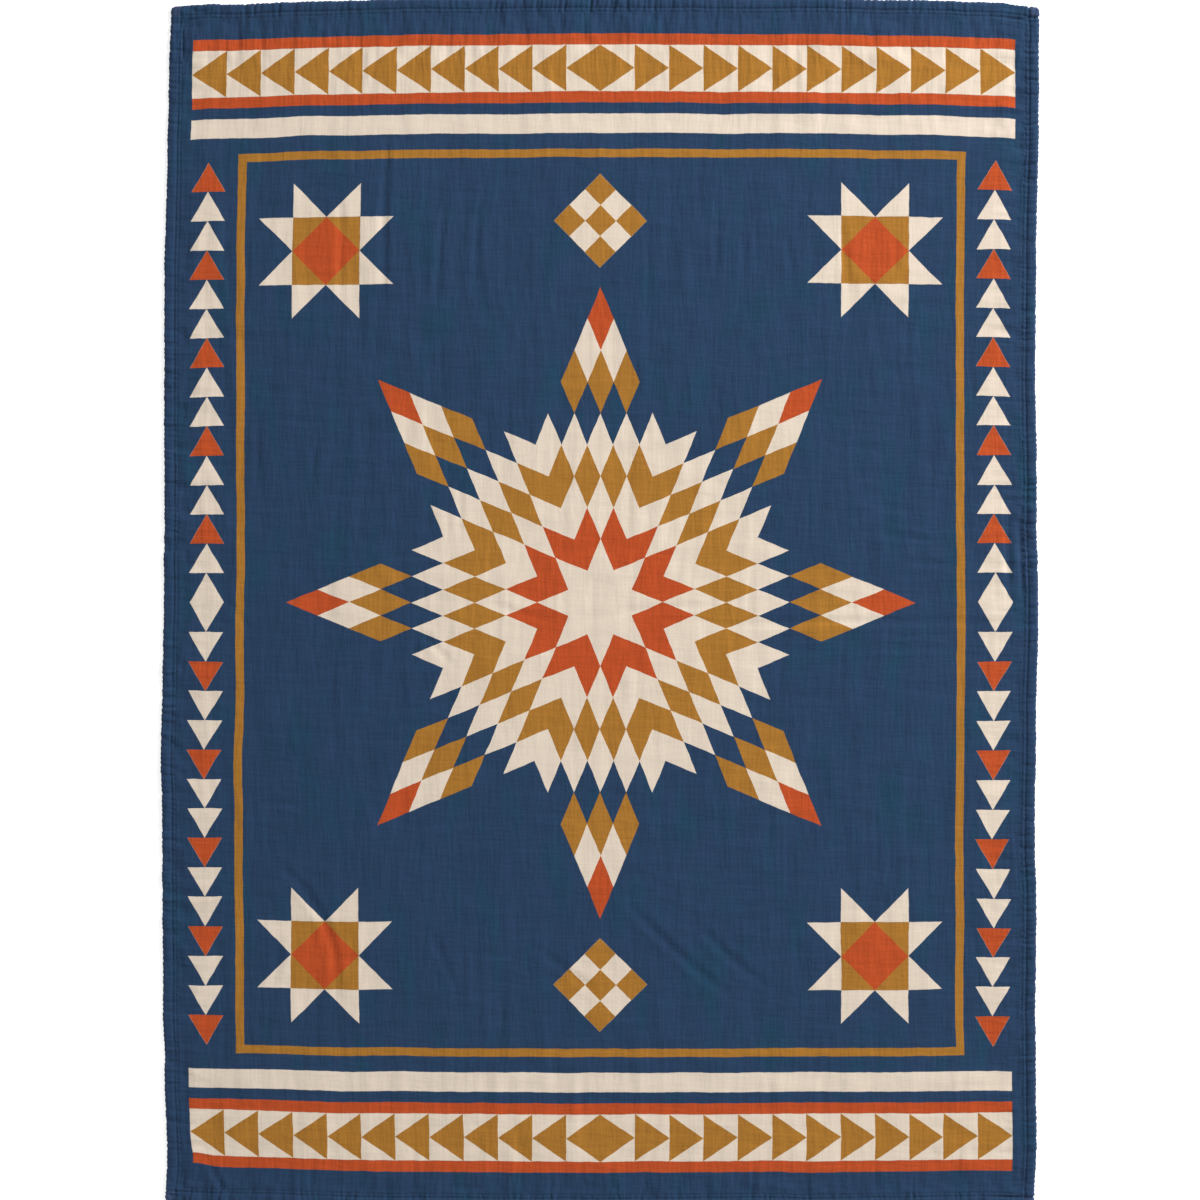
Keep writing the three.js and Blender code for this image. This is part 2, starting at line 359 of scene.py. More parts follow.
def crinkle(s, t):
    """Fine wrinkles of washed gauze: long upright streaks, and weaker ones across."""
    lean = layer_at(CRINKLE_LEAN, s, t)
    patches = CRINKLE_SHARE + layer_at(CRINKLE_PATCHES, s, t)
    upright = layer_at(UPRIGHT_NARROW, s + lean, t) + layer_at(UPRIGHT_WIDE, s - lean, t)
    across = layer_at(ACROSS_NARROW, s, t + lean) + layer_at(ACROSS_WIDE, s, t - lean)
    return patches * (upright + across) + layer_at(BROAD_DENTS, s, t)


def swells(s, t):
    total = 0
    for swell in SWELLS:
        phase = s / swell.along_x + t / swell.along_y
        total = total + swell.height * np.sin(2 * math.pi * phase + swell.shift)
    return total


def stitch_dip(line, inset):
    """How deep a line of topstitching draws the cloth down, by how far in a point lies."""
    return line.depth * np.exp(-(((inset - line.inset) / line.width) ** 2))


def crossing_share(other):
    """Share of its depth that an outer line keeps where it runs out across the other hem."""
    return 1 - (1 - CROSSING_SHARE) * ease((OUTER_LINE.inset - other) / CROSSING_FADE)


def round_inset(across, along):
    """How far in a point lies, by lines that turn each corner in an arc."""
    beyond = np.hypot(np.maximum(INNER_TURN - across, 0), np.maximum(INNER_TURN - along, 0))
    return np.where(beyond > 0, INNER_TURN - beyond, np.minimum(across, along))


def level(s, t):
    """Height of the printed face over the surface that it lies on."""
    across, along = insets(s, t)
    nearest = np.minimum(across, along)
    height = CLOTH_THICK + read_table(HEM_RISES, np.minimum(nearest, HEM_RISES[-1].inset))
    corner = ease((OUTER_LINE.inset - np.maximum(across, along)) / CORNER_SLOPE)
    height = height + CORNER_RISE * corner
    height = height - stitch_dip(OUTER_LINE, across) * crossing_share(along)
    height = height - stitch_dip(OUTER_LINE, along) * crossing_share(across)
    height = height - stitch_dip(INNER_LINE, round_inset(across, along))
    calm = ease((nearest - INNER_LINE.inset) / SWELL_FADE)
    height = height + calm * swells(s, t) + gathers(s, t)
    height = height + ease((nearest - INNER_LINE.inset) / CRINKLE_FADE) * crinkle(s, t)
    for crease in CREASES + WRINKLES:
        height = height + crease_height(crease, s, t)
    over = height - LOWEST
    return LOWEST + (over + np.sqrt(over * over + LOWEST_SOFTNESS**2)) / 2


def round_corner(s, t):
    """Rounds off the corners of the rectangle."""
    start_s = WIDTH / 2 - CORNER_ROUND
    start_t = LENGTH / 2 - CORNER_ROUND
    u = (np.abs(s) - start_s) / CORNER_ROUND
    v = (np.abs(t) - start_t) / CORNER_ROUND
    corner = (u > 0) & (v > 0)
    round_s = start_s + CORNER_ROUND * u * np.sqrt(np.clip(1 - v * v / 2, 0, 1))
    round_t = start_t + CORNER_ROUND * v * np.sqrt(np.clip(1 - u * u / 2, 0, 1))
    return (
        np.where(corner, np.sign(s) * round_s, s),
        np.where(corner, np.sign(t) * round_t, t),
    )


def scallop(side, along, inset):
    """How far the folded edge stands out or in, bulge by bulge."""
    edge = np.zeros_like(inset)
    out = SCALLOP * bulge(side, along, edge) + BEAD_SCALLOP * beads(side, along, edge)
    return out * (1 - ease(inset / SCALLOP_REACH))


def notch(to_line, inset):
    """How far the folded edge is drawn in where an outer line of stitching runs out over it."""
    dip = LINE_NOTCH * np.exp(-(((to_line - OUTER_LINE.inset) / NOTCH_WIDTH) ** 2))
    return dip * (1 - ease(inset / SCALLOP_REACH))


def widest(edge):
    return max(row.out for row in edge)


def laid(s, t):
    """Carries points of the cut sheet to where they lie, in millimetres round the frame's origin."""
    x, y = round_corner(s, t)
    out_x = np.where(s < 0, read_table(LEFT_EDGE, t), read_table(RIGHT_EDGE, t))
    out_y = np.where(t < 0, read_table(BOTTOM_EDGE, s), read_table(TOP_EDGE, s))
    across, along = insets(s, t)
    x = x + (out_x * s) / (WIDTH / 2) - np.sign(s) * notch(along, across)
    y = y + (out_y * t) / (LENGTH / 2) - np.sign(t) * notch(across, along)
    x = x + scallop(RIGHT_SIDE, t, WIDTH / 2 - s) - scallop(LEFT_SIDE, t, WIDTH / 2 + s)
    y = y + scallop(TOP_SIDE, s, LENGTH / 2 - t) - scallop(BOTTOM_SIDE, s, LENGTH / 2 + t)
    x = x + sum(layer_at(layer, s, t) for layer in SWAY_X)
    y = y + sum(layer_at(layer, s, t) for layer in SWAY_Y)
    for pull in PULLS:
        share = np.exp(-(((s - pull.x) ** 2 + (t - pull.y) ** 2) / pull.reach**2))
        x = x + pull.aside_x * share
        y = y + pull.aside_y * share
    middle_x = (widest(LEFT_EDGE) - widest(RIGHT_EDGE)) / 2
    middle_y = (widest(BOTTOM_EDGE) - widest(TOP_EDGE)) / 2
    return x + middle_x, y + middle_y


def make_object(name, points, faces, cut, materials, plain_faces=()):
    """A piece from points in millimetres. cut holds each point's place on the cut sheet."""
    mesh = bpy.data.meshes.new(name)
    mesh.from_pydata(np.asarray(points) * MM, [], faces)
    for material in materials:
        mesh.materials.append(material)
    mesh.polygons.foreach_set("use_smooth", [True] * len(faces))
    slots = np.zeros(len(faces), int)
    slots[list(plain_faces)] = len(materials) - 1
    mesh.polygons.foreach_set("material_index", slots)
    add_maps(mesh, np.asarray(cut), slots)
    mesh.validate()
    piece = bpy.data.objects.new(name, mesh)
    bpy.context.scene.collection.objects.link(piece)
    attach(piece, "root")
    return piece


# The layout for baking: how much of its width the sheet fills, and which bands of its height the
# underside and the face take
BAKE_FILL = 0.98
Band = namedtuple("Band", "start size")
UNDER_BAND = Band(0.005, 0.04)
FACE_BAND = Band(0.055, 0.94)


def add_maps(mesh, cut, slots):
    """Two maps: the place on the cut sheet in metres, and a layout for baking."""
    corners = np.empty(len(mesh.loops), int)
    mesh.loops.foreach_get("vertex_index", corners)
    sizes = np.empty(len(mesh.polygons), int)
    mesh.polygons.foreach_get("loop_total", sizes)
    place = cut[corners]
    mesh.uv_layers.new(name="Cut").uv.foreach_set("vector", (place * MM).ravel())
    share = place / (WIDTH, LENGTH) * BAKE_FILL + 0.5
    on_underside = share[:, 1] * UNDER_BAND.size + UNDER_BAND.start
    on_face = share[:, 1] * FACE_BAND.size + FACE_BAND.start
    share[:, 1] = np.where(np.repeat(slots > 0, sizes), on_underside, on_face)
    mesh.uv_layers.new(name="OFBake").uv.foreach_set("vector", share.ravel())


def lines_across(span, edge_insets, step):
    """Lines across a span: those of its edges at both ends, and even ones between."""
    last = edge_insets[-1]
    cells = round((span - 2 * last) / step)
    even = np.linspace(last - span / 2, span / 2 - last, cells + 1)[1:-1]
    edges = np.array(edge_insets) - span / 2
    return np.concatenate([edges, even, -edges[::-1]])


def grid_sides(columns, rows, first):
    """Index pairs along the four sides of a grid, counterclockwise, from a line to its opposite."""
    last_i = columns - 1 - first
    last_j = rows - 1 - first
    return [
        [(i, first) for i in range(first, last_i + 1)],
        [(last_i, j) for j in range(first, last_j + 1)],
        [(i, last_j) for i in range(last_i, first - 1, -1)],
        [(first, j) for j in range(last_j, first - 1, -1)],
    ]


def grid_points(columns, rows, heights):
    """Points of a grid at given heights, and each one's place on the cut sheet."""
    s, t = np.meshgrid(columns, rows)
    x, y = laid(s, t)
    points = np.stack([x, y, heights], axis=-1).reshape(-1, 3)
    return points, np.stack([s, t], axis=-1).reshape(-1, 2)


def make_field(materials):
    """The field of the blanket: a crinkled face, a thin rim under the hem and a flat underside."""
    columns = lines_across(WIDTH, FIELD_INSETS, FIELD_STEP_ACROSS)
    rows = lines_across(LENGTH, FIELD_INSETS, FIELD_STEP_ALONG)
    s, t = np.meshgrid(columns, rows)
    nearest = np.minimum(*insets(s, t))
    tuck = TUCK_DEPTH * ease((INNER_LINE.inset - nearest) / TUCK_WIDTH)
    points, cut = grid_points(columns, rows, np.maximum(level(s, t) - tuck, TUCK_LOWEST))
    across = len(columns)
    faces = []
    for j in range(len(rows) - 1):
        for i in range(across - 1):
            corner = j * across + i
            faces.append((corner, corner + 1, corner + across + 1, corner + across))

    foot = {}

    def foot_of(i, j):
        """The point of the underside below a point of the face."""
        if (i, j) not in foot:
            top = j * across + i
            rim = i in (0, across - 1) or j in (0, len(rows) - 1)
            height = points_list[top][2] - RIM_THICK if rim else 0
            foot[i, j] = len(points_list)
            points_list.append([points_list[top][0], points_list[top][1], height])
            cut_list.append(cut_list[top])
        return foot[i, j]

    points_list = points.tolist()
    cut_list = cut.tolist()
    plain_from = len(faces)
    for side in grid_sides(across, len(rows), 0):
        for (i, j), (next_i, next_j) in zip(side, side[1:]):
            top = j * across + i
            next_top = next_j * across + next_i
            faces.append((top, foot_of(i, j), foot_of(next_i, next_j), next_top))
    for cell in underside_cells(across, len(rows)):
        faces.append([foot_of(i, j) for i, j in reversed(cell)])
    plain = range(plain_from, len(faces))
    return make_object("blanket_cloth", points_list, faces, cut_list, materials, plain)


def underside_cells(columns, rows):
    """Wide cells of the underside, counterclockwise, with every point of the rim that they meet."""
    wide_i = [0, *range(UNDERSIDE_SKIP, columns - UNDERSIDE_SKIP, UNDERSIDE_SKIP), columns - 1]
    wide_j = [0, *range(UNDERSIDE_SKIP, rows - UNDERSIDE_SKIP, UNDERSIDE_SKIP), rows - 1]
    for low_j, high_j in zip(wide_j, wide_j[1:]):
        for low_i, high_i in zip(wide_i, wide_i[1:]):
            step_low = 1 if low_j == 0 else high_i - low_i
            step_high = 1 if high_j == rows - 1 else high_i - low_i
            step_left = 1 if low_i == 0 else high_j - low_j
            step_right = 1 if high_i == columns - 1 else high_j - low_j
            cell = [(i, low_j) for i in range(low_i, high_i, step_low)]
            cell += [(high_i, j) for j in range(low_j, high_j, step_right)]
            cell += [(i, high_j) for i in range(high_i, low_i, -step_high)]
            cell += [(low_i, j) for j in range(high_j, low_j, -step_left)]
            yield cell


def make_hem(materials):
    """The turned hem: a fine ring of cloth round the field, with a rounded fold outside."""
    edge_insets = [row.inset for row in HEM_NOSE] + HEM_INSETS
    deep = len(edge_insets)
    columns = lines_across(WIDTH, edge_insets, HEM_STEP)
    rows = lines_across(LENGTH, edge_insets, HEM_STEP)
    across = len(columns)
    along = len(rows)
    in_ring = np.zeros((along, across), bool)
    in_ring[:deep, :] = in_ring[-deep:, :] = True
    in_ring[:, :deep] = in_ring[:, -deep:] = True
    number = np.cumsum(in_ring).reshape(in_ring.shape) - 1

    s, t = (grid[in_ring] for grid in np.meshgrid(columns, rows))
    nearest = np.minimum(*insets(s, t))
    shares = np.meshgrid(nose_shares(across), nose_shares(along))
    share_s, share_t = (grid[in_ring] for grid in shares)
    tuck = TUCK_DEPTH * ease((nearest - INNER_LINE.inset) / TUCK_WIDTH)
    heights = np.maximum(level(s, t) - tuck, TUCK_LOWEST) * share_s * share_t
    x, y = laid(s, t)
    points = np.stack([x, y, heights], axis=-1).tolist()
    cut = np.stack([s, t], axis=-1).tolist()

    faces = []
    for j in range(along - 1):
        for i in range(across - 1):
            hole = deep - 1 <= i < across - deep and deep - 1 <= j < along - deep
            if not hole:
                cell = (number[j, i], number[j, i + 1], number[j + 1, i + 1], number[j + 1, i])
                faces.append([int(index) for index in cell])

    outer_sides, inner_sides = (
        [[int(number[j, i]) for i, j in side] for side in grid_sides(across, along, first)]
        for first in (0, deep - 1)
    )
    foot = {}
    for side in inner_sides:
        for top in side:
            if top not in foot:
                foot[top] = len(points)
                points.append([points[top][0], points[top][1], 0])
                cut.append(cut[top])
    plain_from = len(faces)
    for turn, (outer, inner) in enumerate(zip(outer_sides, inner_sides)):
        middle = outer[deep - 1 : len(outer) - deep + 1]
        for start, end, top, next_top in zip(middle, middle[1:], inner, inner[1:]):
            faces.append([top, next_top, foot[next_top], foot[top]])
            faces.append([start, foot[top], foot[next_top], end])
        following = outer_sides[(turn + 1) % 4]
        corner = outer[-deep:] + following[1:deep] + [foot[inner[-1]]]
        faces.append(corner[::-1])
    return make_object("blanket_hem", points, faces, cut, materials, range(plain_from, len(faces)))


def nose_shares(count):
    """Share of the hem's height at each line across the sheet, which rises over the fold."""
    shares = np.ones(count)
    rising = [row.share for row in HEM_NOSE]
    shares[: len(rising)] = rising
    shares[-len(rising) :] = rising[::-1]
    return shares


# Topstitching thread, in millimetres. A stitch's run is taken from the row a step ahead of it.
STITCH_LENGTH = 2.8
STITCH_STRAY = 0.25
STITCH_SKEW = 0.12
STITCH_SEED = 71
STEP_AHEAD = 0.5
ROW_END = 1.5
TURN_STEPS = 8
THREAD_RADIUS = 0.3
THREAD_SIDES = 5
Thread = namedtuple("Thread", "share lift swell")
THREAD_PATH = [
    Thread(-0.5, -0.35, 0.55), Thread(-0.32, 0.12, 0.95), Thread(0, 0.24, 1.0),
    Thread(0.32, 0.12, 0.95), Thread(0.5, -0.35, 0.55),
]


def outer_rows():
    """The straight rows of the outer line, each from edge to edge of the cut sheet."""
    end_s = WIDTH / 2 - ROW_END
    end_t = LENGTH / 2 - ROW_END
    for side in (-1, 1):
        row_t = side * (LENGTH / 2 - OUTER_LINE.inset)
        row_s = side * (WIDTH / 2 - OUTER_LINE.inset)
        yield np.array([(-end_s, row_t), (end_s, row_t)])
        yield np.array([(row_s, -end_t), (row_s, end_t)])


def inner_row():
    """The one row of the inner line, which goes round the sheet with an arc at each corner."""
    radius = INNER_TURN - INNER_LINE.inset
    centre_s = WIDTH / 2 - INNER_TURN
    centre_t = LENGTH / 2 - INNER_TURN
    path = []
    for side_s, side_t, first in ((1, 1, 0), (-1, 1, 90), (-1, -1, 180), (1, -1, 270)):
        for step in range(TURN_STEPS + 1):
            angle = math.radians(first + 90 * step / TURN_STEPS)
            s = side_s * centre_s + radius * math.cos(angle)
            path.append((s, side_t * centre_t + radius * math.sin(angle)))
    path.append(path[0])
    return np.array(path)


def make_stitches(material):
    """Short arched stitches of thread along both lines, each dipping into the cloth at its ends."""
    rng = np.random.default_rng(STITCH_SEED)
    points = []
    faces = []
    cut = []
    for path in [*outer_rows(), inner_row()]:
        steps = np.hypot(*np.diff(path, axis=0).T)
        reached = np.concatenate([[0], np.cumsum(steps)])
        count = int(reached[-1] / STITCH_PITCH)
        places = (np.arange(count) + 0.5) * reached[-1] / count
        places = places + rng.uniform(-STITCH_STRAY, STITCH_STRAY, count)
        skew = rng.uniform(-STITCH_SKEW, STITCH_SKEW, count)
        for place, lean in zip(places, skew):
            middle, ahead = (
                np.array([np.interp(at, reached, path[:, 0]), np.interp(at, reached, path[:, 1])])
                for at in (place, min(place + STEP_AHEAD, reached[-1]))
            )
            run = (ahead - middle) / math.hypot(*(ahead - middle))
            aside = np.array([-run[1], run[0]])
            add_stitch(points, faces, cut, middle, run, aside, lean)
    points = np.array(points)
    x, y = laid(points[:, 0], points[:, 1])
    height = level(np.array(cut)[:, 0], np.array(cut)[:, 1]) + points[:, 2]
    return make_object("topstitching", np.stack([x, y, height], axis=-1), faces, cut, [material])


def add_stitch(points, faces, cut, middle, run, aside, lean):
    """Adds one stitch: rings of points along its path, with walls between and a cap at each end.
    lean is how far its two ends stand aside, one to each hand."""
    first = len(points)
    angles = 2 * math.pi * (np.arange(THREAD_SIDES) + 0.5) / THREAD_SIDES
    for row in THREAD_PATH:
        centre = middle + run * row.share * STITCH_LENGTH + aside * lean * row.share * 2
        for angle in angles:
            radius = THREAD_RADIUS * row.swell
            side = centre + aside * radius * math.cos(angle)
            points.append([side[0], side[1], row.lift + radius * math.sin(angle)])
            cut.append(centre.tolist())
    rings = len(THREAD_PATH)
    for ring in range(rings - 1):
        low = first + ring * THREAD_SIDES
        high = low + THREAD_SIDES
        for k in range(THREAD_SIDES):
            after = (k + 1) % THREAD_SIDES
            faces.append([low + k, low + after, high + after, high + k])
    faces.append([first + k for k in reversed(range(THREAD_SIDES))])
    faces.append([first + (rings - 1) * THREAD_SIDES + k for k in range(THREAD_SIDES)])


class Wire:
    """A number that a node tree works out, written with ordinary arithmetic."""

    def __init__(self, tree, socket):
        self.tree = tree
        self.socket = socket

    def math(self, operation, *others, clamp=False):
        return math_node(self.tree, operation, self, *others, clamp=clamp)

    def __add__(self, other):
        return self.math("ADD", other)

    def __sub__(self, other):
        return self.math("SUBTRACT", other)

    def __mul__(self, other):
        return self.math("MULTIPLY", other)

    def __truediv__(self, other):
        return self.math("DIVIDE", other)

    def __rsub__(self, other):
        return math_node(self.tree, "SUBTRACT", other, self)

    def __abs__(self):
        return self.math("ABSOLUTE")

    __radd__ = __add__
    __rmul__ = __mul__


def math_node(tree, operation, *values, clamp=False):
    node = tree.nodes.new("ShaderNodeMath")
    node.operation = operation
    node.use_clamp = clamp
    for place, value in enumerate(values):
        if isinstance(value, Wire):
            tree.links.new(value.socket, node.inputs[place])
        else:
            node.inputs[place].default_value = value
    return Wire(tree, node.outputs[0])


def lowest(first, *others):
    for other in others:
        first = first.math("MINIMUM", other)
    return first


def highest(first, other):
    return first.math("MAXIMUM", other)


def inside(distance):
    """1 where a distance in millimetres is positive, and 0 where it is negative, softly."""
    return distance.math("MULTIPLY_ADD", 1 / PRINT_SOFTNESS, 0.5, clamp=True)


def between(value, low, high):
    """How far a value lies inside a span."""
    return lowest(value - low, high - value)


def mix_colours(factor, below, above):
    """One colour over another. Either is a socket or a plain colour."""
    tree = factor.tree
    node = tree.nodes.new("ShaderNodeMix")
    node.data_type = "RGBA"
    tree.links.new(factor.socket, node.inputs["Factor"])
    for name, colour in (("A", below), ("B", above)):
        socket = next(s for s in node.inputs if s.name == name and s.type == "RGBA")
        if isinstance(colour, tuple):
            socket.default_value = (*colour, 1)
        else:
            tree.links.new(colour, socket)
    return next(s for s in node.outputs if s.type == "RGBA")


def linear(red, green, blue):
    """A colour given as it looks on a screen, 0 to 255, as light."""
    return tuple(
        c / 12.92 / 255 if c <= 10 else ((c / 255 + 0.055) / 1.055) ** 2.4 for c in (red, green, blue)
    )


NAVY = linear(32, 59, 87)
NAVY_PURPLE = linear(37, 56, 88)
NAVY_TEAL = linear(26, 61, 86)
# Lighter navy of the hem's fold and corner squares: partly wear, partly painted highlight
NAVY_WORN_AND_HIGHLIT = linear(62, 72, 104)
THREAD = linear(36, 58, 84)
# Painted shade in the grooves between the thread's plies
THREAD_PLY_SHADE = linear(26, 44, 66)
CREAM = linear(215, 200, 183)
MUSTARD = linear(160, 109, 40)
RUST = linear(178, 73, 32)

# The print, in millimetres from the middle of the sheet. It is the same on both sides of both
# middle lines. Every motif is a common one of old patchwork. Colours blend over PRINT_SOFTNESS,
# and LAST_BIT keeps a place just inside the last motif of a row.
PRINT_SOFTNESS = 0.9
LAST_BIT = 0.01
PRINT_HALF_WIDTH = 600
Stripe = namedtuple("Stripe", "low high colour")
END_STRIPES = [
    Stripe(680, 708, CREAM),
    Stripe(724, 740, RUST),
    Stripe(740, 808, CREAM),
    Stripe(808, 824, RUST),
]
END_GEESE_LOW = 740
END_GEESE_HIGH = 808
END_GEESE_PITCH = 50
FRAME_X = 524
FRAME_Y = 651
FRAME_HALF_LINE = 6
SIDE_GEESE_X = 573
SIDE_GEESE_WIDE = 50
SIDE_GEESE_PITCH = 43
SIDE_GEESE_COUNT = 15
STAR_PATCH = 49.5
STAR_ROWS = 5
STAR_RINGS = [CREAM, RUST, CREAM, MUSTARD, CREAM, NAVY, MUSTARD, CREAM, RUST]
RING_MARGIN = 0.4
BLOCK_X = 400
BLOCK_Y = 512
BLOCK_UNIT = 49
NINE_Y = 553
NINE_UNIT = 32


def geese(along, aside, pitch, wide):
    """A row of triangles nose to tail. along runs the way they point, aside from their middle."""
    slope = (1 - (along / pitch).math("FRACT")) * (wide / 2) - abs(aside)
    return inside(slope)


def print_ends(colour, x, y):
    """Stripes across both ends, with a row of triangles between two of them."""
    in_width = inside(PRINT_HALF_WIDTH - x)
    for stripe in END_STRIPES:
        in_stripe = inside(between(y, stripe.low, stripe.high)) * in_width
        colour = mix_colours(in_stripe, colour, stripe.colour)
    in_row = inside(between(y, END_GEESE_LOW, END_GEESE_HIGH)) * in_width
    middle = (END_GEESE_LOW + END_GEESE_HIGH) / 2
    along = lowest(x, PRINT_HALF_WIDTH - LAST_BIT)
    flock = geese(along, y - middle, END_GEESE_PITCH, END_GEESE_HIGH - END_GEESE_LOW)
    return mix_colours(flock * in_row, colour, MUSTARD)


def print_frame(colour, x, y):
    """A thin line round the middle field."""
    beyond = highest(x - FRAME_X, y - FRAME_Y)
    return mix_colours(inside(FRAME_HALF_LINE - abs(beyond)), colour, MUSTARD)


def print_sides(colour, x, y):
    """A column of triangles down each side, with a rust one after every two cream ones."""
    aside = x - SIDE_GEESE_X
    end = SIDE_GEESE_COUNT * SIDE_GEESE_PITCH
    in_column = inside(SIDE_GEESE_WIDE / 2 - abs(aside)) * inside(end - y)
    along = lowest(y, end - LAST_BIT)
    flock = geese(along, aside, SIDE_GEESE_PITCH, SIDE_GEESE_WIDE) * in_column
    third = (along / (3 * SIDE_GEESE_PITCH)).math("FRACT").math("GREATER_THAN", 2 / 3)
    colour = mix_colours(flock, colour, CREAM)
    return mix_colours(flock * third, colour, RUST)


def print_star(colour, x, y):
    """A great eight-pointed star of small lozenges, in rings round the middle."""
    eighth = math.pi / 4
    radius = (x * x + y * y).math("SQRT")
    turn = y.math("ARCTAN2", x)
    aside = ((turn / eighth + 0.5).math("FRACT") - 0.5) * eighth
    outward = radius * aside.math("COSINE") / (2 * STAR_PATCH * math.cos(eighth / 2))
    sideways = radius * aside.math("SINE") / (2 * STAR_PATCH * math.sin(eighth / 2))
    first = outward + sideways
    second = outward - sideways
    edge = (STAR_ROWS - highest(first, second)) * (STAR_PATCH * math.sin(eighth))
    first_row = lowest(first, STAR_ROWS - LAST_BIT).math("FLOOR")
    second_row = lowest(second, STAR_ROWS - LAST_BIT).math("FLOOR")
    for index, shade in enumerate(STAR_RINGS):
        if shade is not NAVY:
            here = (first_row + second_row).math("COMPARE", index, RING_MARGIN)
            colour = mix_colours(here * inside(edge), colour, shade)
    return colour


def print_block(colour, x, y):
    """A sawtooth star in each corner of the field: eight points round a square in a square."""
    a = abs(x - BLOCK_X)
    b = abs(y - BLOCK_Y)
    longer = highest(a, b)
    shorter = lowest(a, b)
    beyond = longer - BLOCK_UNIT
    in_points = between(beyond, 0, BLOCK_UNIT)
    points = lowest(in_points, BLOCK_UNIT - shorter, shorter - beyond)
    colour = mix_colours(inside(points), colour, CREAM)
    colour = mix_colours(inside(BLOCK_UNIT - longer), colour, MUSTARD)
    return mix_colours(inside((BLOCK_UNIT - (a + b)) / math.sqrt(2)), colour, RUST)


def print_nine_patch(colour, x, y):
    """A small chequer of nine squares, set on its point, near each end of the field."""
    u = (x + (y - NINE_Y)) / math.sqrt(2)
    v = (x - (y - NINE_Y)) / math.sqrt(2)
    whole = inside(1.5 * NINE_UNIT - highest(abs(u), abs(v)))
    column = (u / NINE_UNIT + 0.5).math("FLOOR")
    row = (v / NINE_UNIT + 0.5).math("FLOOR")
    odd = abs(column + row).math("MODULO", 2)
    colour = mix_colours(whole, colour, MUSTARD)
    return mix_colours(whole * odd, colour, CREAM)


# Streaks of the gauze: width and height of a patch in millimetres, the most that they add, and how
# many finer layers the noise has
Streak = namedtuple("Streak", "wide tall most detail")
HUE_PATCHES = Streak(45, 120, 1.4, 2)
# Patches of the hem's wear and painted highlight
WEAR_AND_HIGHLIGHT_PATCHES = Streak(9, 9, 0.5, 2)
YARN_TINTS = [Streak(1.5, 24, 0.045, 2), Streak(20, 1.5, 0.035, 2)]
# The wider streaks are partly uneven dye and partly painted shade, standing in for the light and
# shade of the crinkles
DYE_AND_PAINTED_SHADE_STREAKS = [Streak(9, 90, 0.13, 2), Streak(70, 11, 0.1, 2)]
RAGGED_X = Streak(22, 16, 0.6, 1)
RAGGED_Y = Streak(16, 22, 0.6, 1)
RAGGED_SHIFT = 500


def streaks(tree, x, y, streak):
    """Noise in patches, from minus to plus the most that the streak adds."""
    place = tree.nodes.new("ShaderNodeCombineXYZ")
    tree.links.new((x / streak.wide).socket, place.inputs[0])
    tree.links.new((y / streak.tall).socket, place.inputs[1])
    node = tree.nodes.new("ShaderNodeTexNoise")
    node.noise_dimensions = "2D"
    node.inputs["Scale"].default_value = 1
    node.inputs["Detail"].default_value = streak.detail
    tree.links.new(place.outputs[0], node.inputs["Vector"])
    return (Wire(tree, node.outputs[0]) * 2 - 1) * streak.most


# Relief too fine for the mesh, in millimetres: wrinkles both ways all over, more of them where the
# stitching draws the cloth in, and the weave. Yarns waver a little, and the weave less.
WAVER = Streak(14, 14, 1.6, 2)
WEAVE_WAVER = 0.2
UPRIGHT_WRINKLES = Streak(5.0, 34, 0.34, 1)
ACROSS_WRINKLES = Streak(28, 5.2, 0.34, 1)
UPRIGHT_DRAWN = Streak(9, 45, 1, 1)
ACROSS_DRAWN = Streak(45, 9, 1, 1)
YARN_PITCH = 0.85
WEAVE_HEIGHT = 0.025

# How far in from an edge the drawn wrinkles reach, and how strong they are there
GATHER_REACH = 110
TOP_REACH = 220
TOP_DRAW = 0.8
BOTTOM_DRAW = 0.8
SIDE_DRAW = 0.9

# Pale cloth holds less dye, so its streaks of dye and of painted crinkle shade are weaker, and light
# spreads through its finest wrinkles
CREAM_BRIGHTNESS = 0.59
PALE_EVENNESS = 0.85
PALE_SOFTNESS = 0.6

# Shares of plain navy over the purplish one, and of the greenish one over both, in mid patch
PLAIN_SHARE = 0.3
TEAL_SHARE = 0.2

# Lightening of the hem, partly wear and partly painted highlight on its raised fold and corner
# squares: how strong it is on the fold and on the corner squares, and how far it spreads
FOLD_WEAR_AND_HIGHLIGHT = 0.5
FOLD_LIGHTENING_WIDTH = 5
CORNER_WEAR_AND_HIGHLIGHT = 0.75
CORNER_LIGHTENING_SOFTNESS = 3
LIGHTENING_SHARE = 0.6


def gauze_relief(tree, x, y):
    """Height in metres of the weave and of wrinkles too fine for the mesh."""
    waver = streaks(tree, x, y, WAVER)
    top = lowest(near(LENGTH / 2 - y, TOP_REACH), TOP_DRAW)
    ends = top + near(LENGTH / 2 + y, GATHER_REACH) * BOTTOM_DRAW
    sides = near(WIDTH / 2 - abs(x), GATHER_REACH) * SIDE_DRAW
    upright = streaks(tree, x + waver, y, UPRIGHT_WRINKLES)
    upright = upright + streaks(tree, x - waver, y, UPRIGHT_DRAWN) * ends
    across = streaks(tree, x, y + waver, ACROSS_WRINKLES)
    across = across + streaks(tree, x, y - waver, ACROSS_DRAWN) * sides
    warp = ((x + waver * WEAVE_WAVER) * (2 * math.pi / YARN_PITCH)).math("SINE")
    weft = ((y + waver * WEAVE_WAVER) * (2 * math.pi / YARN_PITCH)).math("SINE")
    return (upright + across + warp * weft * WEAVE_HEIGHT) * MM


def near(inset, reach):
    """1 at an edge, falling to 0 at a reach in from it."""
    return (1 - inset / reach).math("MAXIMUM", 0)


